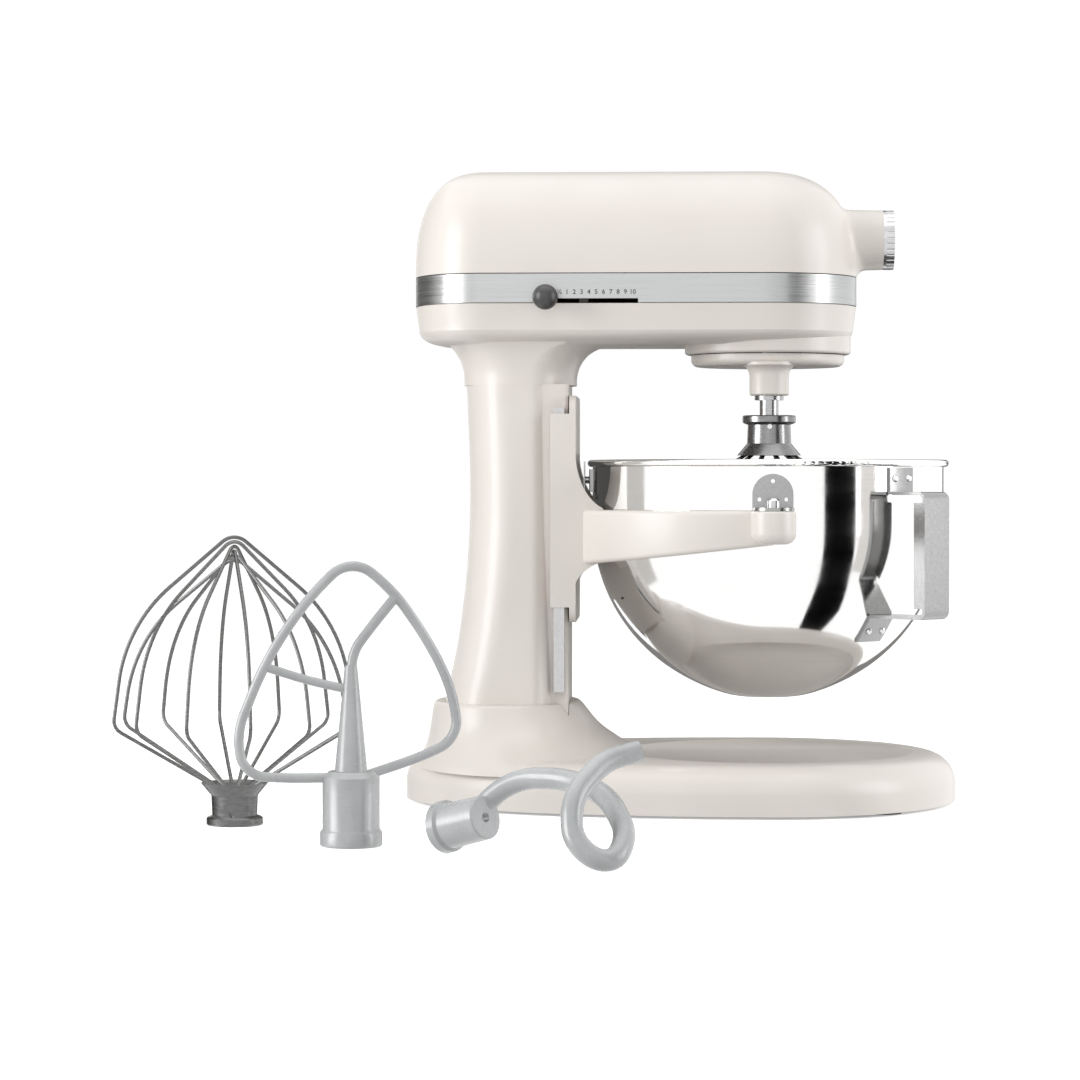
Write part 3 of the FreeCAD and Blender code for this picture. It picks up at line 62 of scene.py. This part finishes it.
class Finish:
    """A node material with its Principled shader and object coordinates at hand."""

    def __init__(self, name):
        self.material = bpy.data.materials.new(name)
        self.material.use_nodes = True
        tree = self.material.node_tree
        self.nodes, self.links = tree.nodes, tree.links
        self.shader = self.nodes["Principled BSDF"]
        self.place = self.nodes.new("ShaderNodeTexCoord").outputs["Object"]

    def set(self, **sockets):
        for name, value in sockets.items():
            self.shader.inputs[name.replace("_", " ")].default_value = value
        return self

    def noise(self, scale, stretch=(1, 1, 1), detail=3.0, rough=0.55):
        mapping = self.nodes.new("ShaderNodeMapping")
        mapping.inputs["Scale"].default_value = stretch
        self.links.new(self.place, mapping.inputs["Vector"])
        texture = self.nodes.new("ShaderNodeTexNoise")
        texture.inputs["Scale"].default_value = scale
        texture.inputs["Detail"].default_value = detail
        texture.inputs["Roughness"].default_value = rough
        self.links.new(mapping.outputs["Vector"], texture.inputs["Vector"])
        return texture.outputs["Fac"]

    def colour(self, source, low, high):
        """Base colour from low to high, over the part of the noise that is used."""
        node = self.nodes.new("ShaderNodeValToRGB")
        stops = zip(node.color_ramp.elements, COLOUR_SPAN, (low, high))
        for element, position, colour in stops:
            element.position = position
            element.color = (*colour, 1.0)
        self.links.new(source, node.inputs["Fac"])
        self.links.new(node.outputs["Color"], self.shader.inputs["Base Color"])
        return self

    def roughness(self, source, low, high):
        node = self.nodes.new("ShaderNodeMapRange")
        node.inputs["From Min"].default_value, node.inputs["From Max"].default_value = ROUGHNESS_SPAN
        node.inputs["To Min"].default_value = low
        node.inputs["To Max"].default_value = high
        self.links.new(source, node.inputs["Value"])
        self.links.new(node.outputs["Result"], self.shader.inputs["Roughness"])
        return self

    def bump(self, source, strength, distance):
        node = self.nodes.new("ShaderNodeBump")
        node.inputs["Strength"].default_value = strength
        node.inputs["Distance"].default_value = distance
        self.links.new(source, node.inputs["Height"])
        self.links.new(node.outputs["Normal"], self.shader.inputs["Normal"])
        return self


def shade(value, tint=(1.0, 1.0, 1.0)):
    return tuple(value * part for part in tint)


# ---- the mixer's finishes -------------------------------------------------------
STEEL_TINT = (1.0, 1.0, 1.01)
MIRROR_TINT = (1.0, 0.995, 0.985)
BAND_TINT = (0.985, 1.0, 1.0)


def enamel():
    """Cream enamel: almost even colour, a faint orange peel and a soft clear gloss."""
    f = Finish("cream_enamel").set(Coat_Weight=0.25, Coat_Roughness=0.2, Specular_IOR_Level=0.5)
    f.colour(f.noise(9, detail=2), (0.640, 0.600, 0.560), (0.668, 0.628, 0.588))
    f.roughness(f.noise(60), 0.40, 0.48)
    return f.bump(f.noise(420, detail=1), 0.05, 0.0004).material


def brushed_band():
    """Aluminium strip with long brush lines."""
    f = Finish("brushed_band").set(Metallic=1.0, Specular_IOR_Level=0.5)
    streaks = f.noise(60, (0.25, 0.25, 60), detail=4)
    f.colour(streaks, shade(0.34, BAND_TINT), shade(0.40, BAND_TINT))
    f.roughness(streaks, 0.24, 0.38)
    return f.bump(streaks, 0.12, 0.0001).material


def polished_steel():
    """Spun stainless: a mirror with faint circular polishing lines."""
    f = Finish("polished_steel").set(Metallic=1.0)
    rings = f.noise(45, (0.5, 0.5, 34), detail=5, rough=0.7)
    f.colour(rings, shade(0.68, MIRROR_TINT), shade(0.72, MIRROR_TINT))
    f.roughness(f.noise(16, (1, 1, 4)), 0.055, 0.11)
    return f.bump(rings, 0.012, 0.00003).material


def pressed_steel():
    """Bent and pressed steel sheet with a fine upright grain."""
    f = Finish("pressed_steel").set(Metallic=1.0)
    grain = f.noise(420, (1, 1, 5), detail=2)
    f.colour(grain, shade(0.27), shade(0.31))
    f.roughness(grain, 0.2, 0.27)
    return f.bump(grain, 0.02, 0.00005).material


def satin_metal(name, value, tint, low, high):
    """Plain metal with an even, very fine grain and a roughness from low to high."""
    f = Finish(name).set(Metallic=1.0)
    grain = f.noise(520, detail=2)
    f.colour(grain, shade(value * 0.93, tint), shade(value, tint))
    f.roughness(grain, low, high)
    return f.bump(grain, 0.03, 0.00005).material


def turned_metal(name, value, tint, low, high, stretch):
    """Metal with fine lathe or drawing lines across one direction."""
    f = Finish(name).set(Metallic=1.0)
    lines = f.noise(180, stretch, detail=3)
    f.colour(lines, shade(value * 0.8, tint), shade(value, tint))
    f.roughness(lines, low, high)
    return f.bump(lines, 0.08, 0.00008).material


def moulded(name, low, high, rough, peel=0.05):
    """Plastic, rubber or paint between two greys, with a fine moulded texture."""
    f = Finish(name).set(Specular_IOR_Level=0.5)
    f.colour(f.noise(25), shade(low), shade(high))
    f.roughness(f.noise(120), rough - 0.04, rough + 0.06)
    return f.bump(f.noise(300, detail=2), peel, 0.0003).material


def coated_white():
    """Thick smooth coating on the cast tools, a little uneven along its edges."""
    f = Finish("white_coating").set(Coat_Weight=0.3, Coat_Roughness=0.2)
    f.colour(f.noise(30), (0.33, 0.34, 0.345), (0.40, 0.41, 0.415))
    f.roughness(f.noise(80), 0.22, 0.32)
    return f.bump(f.noise(140, detail=2), 0.12, 0.0005).material


def circuit_green():
    f = Finish("circuit_green").set(Coat_Weight=0.5)
    f.colour(f.noise(500, detail=1), (0.01, 0.09, 0.04), (0.02, 0.16, 0.07))
    return f.roughness(f.noise(200), 0.35, 0.5).material


FINISHES = {
    "enamel": enamel(),
    "brushed_band": brushed_band(),
    "satin_aluminium": satin_metal("satin_aluminium", 0.42, (1.0, 1.0, 1.0), 0.26, 0.36),
    "chrome": satin_metal("bright_plate", 0.46, STEEL_TINT, 0.14, 0.24),
    "polished_steel": polished_steel(),
    "rivet_steel": satin_metal("rivet_steel", 0.60, STEEL_TINT, 0.2, 0.3),
    "shaft_steel": turned_metal("ground_steel", 0.38, STEEL_TINT, 0.12, 0.24, (1, 1, 9)),
    "gear_steel": satin_metal("gear_steel", 0.42, STEEL_TINT, 0.28, 0.42),
    "bronze": satin_metal("bearing_bronze", 0.55, (1.0, 0.72, 0.42), 0.25, 0.4),
    "whisk_steel": turned_metal("drawn_wire", 0.13, (1.0, 1.01, 1.0), 0.2, 0.34, (1, 1, 5)),
    "lamination": turned_metal("laminations", 0.2, (1.0, 0.9, 0.82), 0.4, 0.55, (30, 1, 1)),
    "black_plastic": moulded("black_plastic", 0.026, 0.036, 0.34),
    "lever_metal": satin_metal("blackened_steel", 0.05, STEEL_TINT, 0.3, 0.45),
    "circuit_board": circuit_green(),
    "coated_metal": coated_white(),
    "foot_rubber": moulded("foot_rubber", 0.008, 0.014, 0.6, 0.2),
}
PRINT = moulded("grey_print", 0.05, 0.08, 0.5)


# ---- mesh helpers ---------------------------------------------------------------
JOIN_DISTANCE, SLIVER = 2e-6, 1e-6


def finished_piece(name, mesh, node, finish=None, sharp=32.0):
    """Make an object of a bmesh, shade it, and let it ride with the node's body."""
    bmesh.ops.recalc_face_normals(mesh, faces=mesh.faces)
    limit = math.radians(sharp)
    for edge in mesh.edges:
        edge.smooth = len(edge.link_faces) == 2 and edge.calc_face_angle(0.0) < limit
    for face in mesh.faces:
        face.smooth = True
    data = bpy.data.meshes.new(name)
    mesh.to_mesh(data)
    mesh.free()
    piece = bpy.data.objects.new(name, data)
    bpy.context.scene.collection.objects.link(piece)
    data.materials.append(finish or FINISHES[SLOT_OF[node]])
    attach(piece, BODY_OF[node])
    return piece


def refined(node, sharp, finish=None):
    """A joined-up copy of a CAD node with smooth shading, which stands for it."""
    mesh = bmesh.new()
    mesh.from_mesh(NODES[node].data)
    bmesh.ops.remove_doubles(mesh, verts=mesh.verts, dist=JOIN_DISTANCE)
    bmesh.ops.dissolve_degenerate(mesh, edges=mesh.edges, dist=SLIVER)
    piece = finished_piece(node + "_skin", mesh, node, finish, sharp)
    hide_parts(node)
    return piece


# Nodes that show, by the angle in degrees past which an edge between two faces is sharp.
SHARP_PAST = {
    24: ("whisk_ferrule", "spare_whisk_ferrule", "bowl_side_brackets", "bowl_handle"),
    26: ("bowl_support",),
    28: ("base", "column", "lower_housing", "trim_band", "head_cover", "hub_cap", "hub_sleeve",
         "planetary_dish", "beater_shaft", "shaft_collar", "locating_pins", "bowl_rear_bracket",
         "bowl_rivets", "attachment_knob", "lift_shaft", "lift_handle", "rubber_feet"),
    35: ("bowl", "flat_beater", "dough_hook"),
    40: ("whisk_wires", "spare_whisk_wires", "speed_knob", "lift_grip"),
}
REFINED = {node: angle for angle, names in SHARP_PAST.items() for node in names}

LOOSE_TOOLS = ("spare_whisk", "flat_beater", "dough_hook")
STEEL_SHEET = ("bowl_side_brackets", "bowl_rear_bracket", "bowl_handle")
SHEET_FINISH = pressed_steel()
BRIGHT_FERRULE = turned_metal("bright_ferrule", 0.22, STEEL_TINT, 0.16, 0.3, (1, 1, 9))

# Nodes whose finish differs from that of their slot.
OWN_FINISH = {node: SHEET_FINISH for node in STEEL_SHEET}
OWN_FINISH["whisk_ferrule"] = BRIGHT_FERRULE

for node, sharp in REFINED.items():
    piece = refined(node, sharp, OWN_FINISH.get(node))
    piece.visible_glossy = BODY_OF[node] not in LOOSE_TOOLS
for node, piece in NODES.items():
    if node not in REFINED:
        piece.data.materials.clear()
        piece.data.materials.append(FINISHES[SLOT_OF[node]])


# ---- numbers beside the speed slot ----------------------------------------------
MARK_SIZE, MARK_STEP = 4.2 * MM, 4.75 * MM
MARK_START, MARK_RISE = 9.0 * MM, 5.4 * MM
MARK_THICK, MARK_WEIGHT = 0.03 * MM, 0.09 * MM


def speed_numbers():
    """Printed speed numbers over the slot, laid on the flat side of the band."""
    low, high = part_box("trim_band")
    knob_low, knob_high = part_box("speed_knob")
    first = (knob_low.x + knob_high.x) / 2 + MARK_START
    marks = ["½"] + [str(speed) for speed in range(1, 11)]
    for index, mark in enumerate(marks):
        curve = bpy.data.curves.new("speed_mark", "FONT")
        curve.body = mark
        curve.size = MARK_SIZE
        curve.align_x = "CENTER"
        curve.extrude = MARK_THICK
        curve.offset = MARK_WEIGHT
        source = bpy.data.objects.new("speed_mark_source", curve)
        bpy.context.scene.collection.objects.link(source)
        bpy.context.view_layer.update()
        data = bpy.data.meshes.new_from_object(source)
        bpy.data.objects.remove(source)
        place = Matrix.Translation((first + index * MARK_STEP, low.y - MARK_THICK, low.z + MARK_RISE))
        data.transform(place @ Matrix.Rotation(math.pi / 2, 4, "X"))
        mesh = bmesh.new()
        mesh.from_mesh(data)
        bpy.data.meshes.remove(data)
        finished_piece("speed_mark_%d" % index, mesh, "trim_band", PRINT)


speed_numbers()


# ---- floor, light and camera ----------------------------------------------------
def plain(name, colour, roughness):
    material = bpy.data.materials.new(name)
    material.use_nodes = True
    shader = material.node_tree.nodes["Principled BSDF"]
    shader.inputs["Base Color"].default_value = (*colour, 1.0)
    shader.inputs["Roughness"].default_value = roughness
    return material


def stage_plane(name, corners, material):
    mesh = bmesh.new()
    mesh.faces.new([mesh.verts.new(corner) for corner in corners])
    data = bpy.data.meshes.new(name)
    mesh.to_mesh(data)
    mesh.free()
    data.materials.append(material)
    plane = bpy.data.objects.new(name, data)
    bpy.context.scene.collection.objects.link(plane)
    return plane


def area_light(name, place, target, size, power):
    data = bpy.data.lights.new(name, "AREA")
    data.shape = "RECTANGLE"
    data.size, data.size_y = size
    data.energy = power
    lamp = bpy.data.objects.new(name, data)
    lamp.location = place
    lamp.rotation_euler = (Vector(target) - Vector(place)).to_track_quat("-Z", "Y").to_euler()
    bpy.context.scene.collection.objects.link(lamp)


FLOOR_REACH = 6.0
floor = stage_plane("floor", [(-FLOOR_REACH, -FLOOR_REACH, 0), (FLOOR_REACH, -FLOOR_REACH, 0),
                              (FLOOR_REACH, FLOOR_REACH, 0), (-FLOOR_REACH, FLOOR_REACH, 0)],
                    plain("floor_white", (0.90, 0.90, 0.90), 0.7))
floor.visible_diffuse = floor.visible_glossy = False

EYE_WHITE, MIRROR_WHITE, SOFT_WHITE = 1.02, 1.46, 0.66
FLOOR_LAMP_ENERGY = 1.2


def studio_world(seen, mirrored, soft):
    """White surroundings with one strength for the eye, one for mirrors and one for matt skins."""
    world = bpy.data.worlds.new("studio")
    bpy.context.scene.world = world
    world.use_nodes = True
    nodes, links = world.node_tree.nodes, world.node_tree.links
    background = nodes["Background"]
    background.inputs["Color"].default_value = (1.0, 1.0, 1.0, 1.0)
    path = nodes.new("ShaderNodeLightPath")
    strength = soft
    for ray, value in (("Is Glossy Ray", mirrored), ("Is Camera Ray", seen)):
        step = nodes.new("ShaderNodeMix")
        links.new(path.outputs[ray], step.inputs["Factor"])
        if isinstance(strength, float):
            step.inputs["A"].default_value = strength
        else:
            links.new(strength, step.inputs["A"])
        step.inputs["B"].default_value = value
        strength = step.outputs["Result"]
    links.new(strength, background.inputs["Strength"])


studio_world(EYE_WHITE, MIRROR_WHITE, SOFT_WHITE)

# A shadowless lamp that lights the floor alone keeps it white round the mixer.
floor_group = bpy.data.collections.new("floor_only")
floor_group.objects.link(floor)
floor_lamp_data = bpy.data.lights.new("floor_lamp", "SUN")
floor_lamp_data.energy = FLOOR_LAMP_ENERGY
floor_lamp_data.use_shadow = False
floor_lamp = bpy.data.objects.new("floor_lamp", floor_lamp_data)
bpy.context.scene.collection.objects.link(floor_lamp)
floor_lamp.light_linking.receiver_collection = floor_group

# Lamps: where they stand, what they point at, their size in metres and their power in watts.
LAMPS = {
    "top": ((-0.1, -0.1, 1.9), (-0.05, 0, 0.2), (1.7, 1.7), 9),
    "left": ((-1.8, -0.8, 0.6), (-0.1, 0, 0.2), (0.9, 1.3), 26),
    "right": ((1.7, -0.6, 0.6), (0, 0, 0.2), (0.9, 1.3), 17),
    "front": ((-0.4, -2.7, 1.1), (-0.1, 0, 0.2), (1.3, 1.3), 3),
}
for name, (place, target, size, power) in LAMPS.items():
    area_light(name, place, target, size, power)


# Cards that only mirrors see paint reflections: a painted dark streak, painted shade on the rear end and
# painted dark rims.
def around(azimuth, distance, height):
    """A point round the bowl's axis; azimuth is in degrees from the near side towards the front."""
    turn = math.radians(azimuth)
    return (distance * math.sin(turn), -distance * math.cos(turn), height)


def mirror_card(name, corners, glow):
    """Glowing card of one warm grey, from black (glow 0) to white (glow 1), that only mirrors see: a
    painted reflection.
    """
    skin = plain(name, (0.002, 0.002, 0.002), 0.9)
    shader = skin.node_tree.nodes["Principled BSDF"]
    shader.inputs["Specular IOR Level"].default_value = 0.0
    shader.inputs["Emission Color"].default_value = (glow, glow * 0.97, glow * 0.94, 1.0)
    shader.inputs["Emission Strength"].default_value = 1.0
    card = stage_plane(name, corners, skin)
    card.visible_camera = card.visible_diffuse = card.visible_shadow = False


def wall_card(name, start, end, distance, low, high, glow):
    mirror_card(name, [around(start, distance, low), around(end, distance, low),
                       around(end, distance, high), around(start, distance, high)], glow)


# Upright cards of painted reflection: the azimuths of their ends, distance, foot, head and glow.
WALL_CARDS = {
    "streak_wall": (34, 55, 1.6, 0.001, 1.7, 0.0),
    "rear_dark": (-106, -150, 1.5, -0.6, 1.2, 0.2),
    "rear_grey": (-86, -106, 1.5, -0.6, 1.2, 0.75),
    "far_side": (157, 203, 1.6, -0.8, 1.6, 0.25),
    "front_grey": (58, 70, 1.6, -0.6, 1.7, 0.95),
}
for name, card in WALL_CARDS.items():
    wall_card(name, *card)

# The painted dark streak of reflection goes on over the floor towards the base, closing in as it comes
# near: a black card just above the floor that only mirrors see.
FLOOR_STREAK = ((34, 1.6), (29.8, 0.34), (24.7, 0.19), (19, 0.105),
                (33, 0.105), (48.4, 0.20), (50.1, 0.36), (55, 1.6))
JUST_ABOVE = 0.001
mirror_card("streak_floor", [around(azimuth, distance, JUST_ABOVE) for azimuth, distance in FLOOR_STREAK],
            0.0)

# A dim card that only mirrors see paints shade on the plate behind the bowl, where the bowl's mirror
# shows it.
SHADE_X, SHADE_HALF, SHADE_FOOT, SHADE_HEAD = -0.1266, 0.052, 0.197, 0.232
SHADE_GLOW = 0.09
mirror_card("plate_shade",
            [(SHADE_X, -SHADE_HALF, SHADE_FOOT), (SHADE_X, SHADE_HALF, SHADE_FOOT),
             (SHADE_X, SHADE_HALF, SHADE_HEAD), (SHADE_X, -SHADE_HALF, SHADE_HEAD)], SHADE_GLOW)

CAMERA_AT = Vector((-0.065, -2.20, 0.216))
CAMERA_AIM = Vector((-0.1524, 0.0, 0.1742))
CAMERA_LENS, FILM_WIDTH = 109.3, 36.0
camera_data = bpy.data.cameras.new("camera")
camera_data.lens = CAMERA_LENS
camera_data.sensor_width = FILM_WIDTH
camera = bpy.data.objects.new("camera", camera_data)
camera.location = CAMERA_AT
camera.rotation_euler = (CAMERA_AIM - CAMERA_AT).to_track_quat("-Z", "Y").to_euler()
bpy.context.scene.collection.objects.link(camera)
bpy.context.scene.camera = camera
bpy.context.scene.view_settings.view_transform = "Standard"
